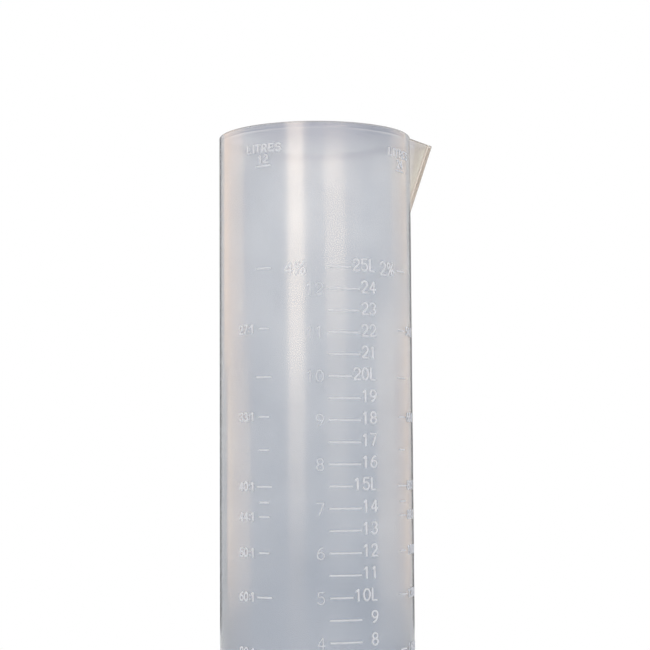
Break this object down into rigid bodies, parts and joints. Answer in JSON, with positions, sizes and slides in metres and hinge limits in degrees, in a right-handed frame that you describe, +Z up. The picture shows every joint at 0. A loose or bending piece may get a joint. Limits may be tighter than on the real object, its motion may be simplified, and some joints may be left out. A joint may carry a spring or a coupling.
{
  "type": "measuring jug",
  "caption": "Tall straight-sided measuring jug of milky see-through plastic, open at a flat rim with a V-shaped pouring spout, and raised level lines in columns on its front.",
  "frame": {"origin": "centre of the flat base, on the axis of the round wall", "axes": "+Z up the jug, +X toward the pouring spout, -Y toward the main scale"},
  "size_m": [0.0742, 0.0637, 0.22],
  "materials": {
    "milky_polypropylene": "natural uncoloured polypropylene, milky and see-through, with a soft moulded sheen",
    "scale_marks": "raised lines, paler and duller than the wall"
  },
  "bodies": {
    "root": {"jug_body": "milky_polypropylene", "left_header_line": "scale_marks", "left_mark_100to1": "scale_marks", "left_mark_24to1": "scale_marks", "left_mark_27to1": "scale_marks", "left_mark_30to1": "scale_marks", "left_mark_33to1": "scale_marks", "left_mark_36to1": "scale_marks", "left_mark_40to1": "scale_marks", "left_mark_42to1": "scale_marks", "left_mark_44to1": "scale_marks", "left_mark_50to1": "scale_marks", "left_mark_60to1": "scale_marks", "left_mark_80to1": "scale_marks", "main_mark_01": "scale_marks", "main_mark_02": "scale_marks", "main_mark_03": "scale_marks", "main_mark_04": "scale_marks", "main_mark_05": "scale_marks", "main_mark_06": "scale_marks", "main_mark_07": "scale_marks", "main_mark_08": "scale_marks", "main_mark_09": "scale_marks", "main_mark_10": "scale_marks", "main_mark_11": "scale_marks", "main_mark_12": "scale_marks", "main_mark_13": "scale_marks", "main_mark_14": "scale_marks", "main_mark_15": "scale_marks", "main_mark_16": "scale_marks", "main_mark_17": "scale_marks", "main_mark_18": "scale_marks", "main_mark_19": "scale_marks", "main_mark_20": "scale_marks", "main_mark_21": "scale_marks", "main_mark_22": "scale_marks", "main_mark_23": "scale_marks", "main_mark_24": "scale_marks", "main_mark_25": "scale_marks", "right_header_line": "scale_marks", "right_mark_100to1": "scale_marks", "right_mark_120to1": "scale_marks", "right_mark_160to1": "scale_marks", "right_mark_200to1": "scale_marks", "right_mark_48to1": "scale_marks", "right_mark_54to1": "scale_marks", "right_mark_60to1": "scale_marks", "right_mark_66to1": "scale_marks", "right_mark_72to1": "scale_marks", "right_mark_80to1": "scale_marks", "right_mark_84to1": "scale_marks", "right_mark_88to1": "scale_marks"}
  },
  "joints": []
}
